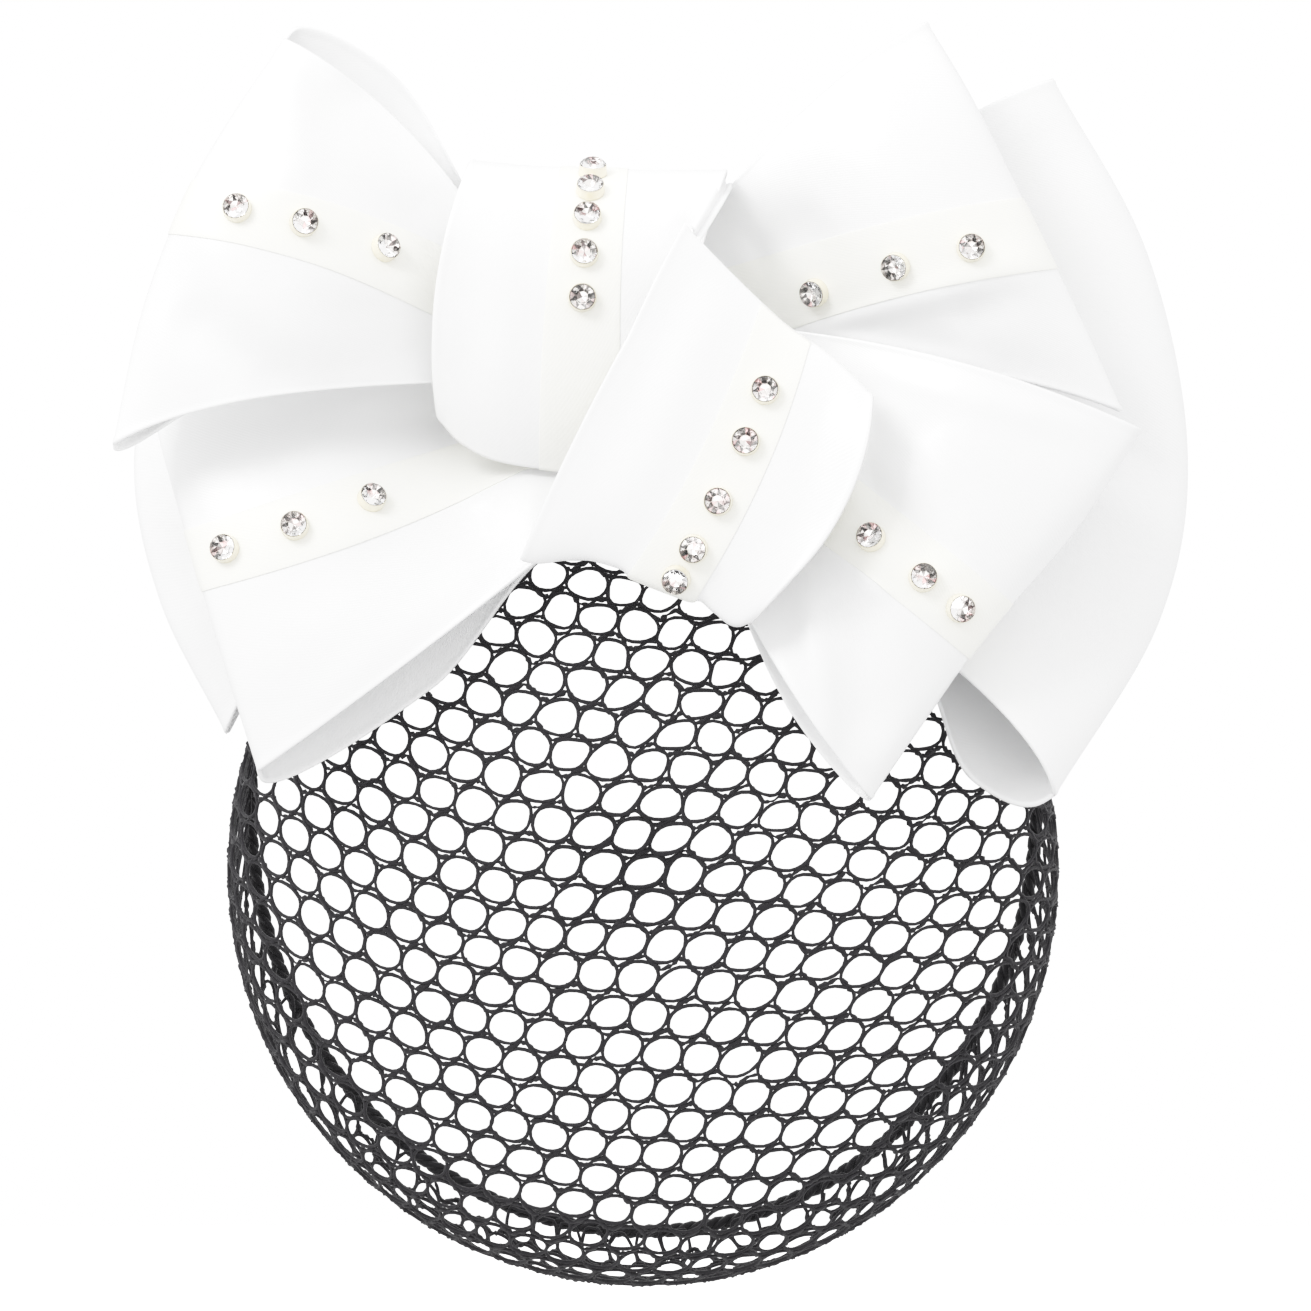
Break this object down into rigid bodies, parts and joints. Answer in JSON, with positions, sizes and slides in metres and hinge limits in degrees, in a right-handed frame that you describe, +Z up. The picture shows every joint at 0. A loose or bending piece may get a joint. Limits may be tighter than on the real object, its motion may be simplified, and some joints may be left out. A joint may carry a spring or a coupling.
{
  "type": "bow barrette with bun net",
  "caption": "Large satin ribbon bow with narrow trim and round cut stones, on a plain hair barrette, with a knitted net pouch hanging under it that holds a hair bun.",
  "frame": {"origin": "middle of the barrette's arm, on the side that lies against the head", "axes": "+Z up as worn, -Y forward away from the head, where the bow and the net face, +X to the right seen from the front"},
  "size_m": [0.119, 0.0501, 0.1405],
  "materials": {
    "satin": "white satin ribbon, soft sheen",
    "trim_ribbon": "ivory satin ribbon, narrow, woven edges",
    "stone": "clear faceted glass with a foiled back",
    "setting": "pale champagne cup, glossy",
    "net": "knitted black polyester thread, matt",
    "elastic": "black covered elastic cord",
    "barrette": "plated spring steel"
  },
  "bodies": {
    "root": {"barrette": "barrette", "net_pouch": "net", "elastic_edge": "elastic", "knot_wrap": "satin", "knot_cross": "satin", "loop_upper_left": "satin", "loop_lower_left": "satin", "loop_back_left": "satin", "loop_upper_right": "satin", "loop_lower_right": "satin", "loop_back_right": "satin", "trim_upper_left": "trim_ribbon", "trim_lower_left": "trim_ribbon", "trim_upper_right": "trim_ribbon", "trim_lower_right": "trim_ribbon", "trim_wrap": "trim_ribbon", "trim_cross": "trim_ribbon", "cups_upper_left": "setting", "cups_lower_left": "setting", "cups_upper_right": "setting", "cups_lower_right": "setting", "cups_wrap": "setting", "cups_cross": "setting", "stone_upper_left_1": "stone", "stone_upper_left_2": "stone", "stone_upper_left_3": "stone", "stone_lower_left_1": "stone", "stone_lower_left_2": "stone", "stone_lower_left_3": "stone", "stone_upper_right_1": "stone", "stone_upper_right_2": "stone", "stone_upper_right_3": "stone", "stone_lower_right_1": "stone", "stone_lower_right_2": "stone", "stone_lower_right_3": "stone", "stone_wrap_1": "stone", "stone_wrap_2": "stone", "stone_wrap_3": "stone", "stone_wrap_4": "stone", "stone_wrap_5": "stone", "stone_cross_1": "stone", "stone_cross_2": "stone", "stone_cross_3": "stone", "stone_cross_4": "stone", "stone_cross_5": "stone"}
  },
  "joints": []
}
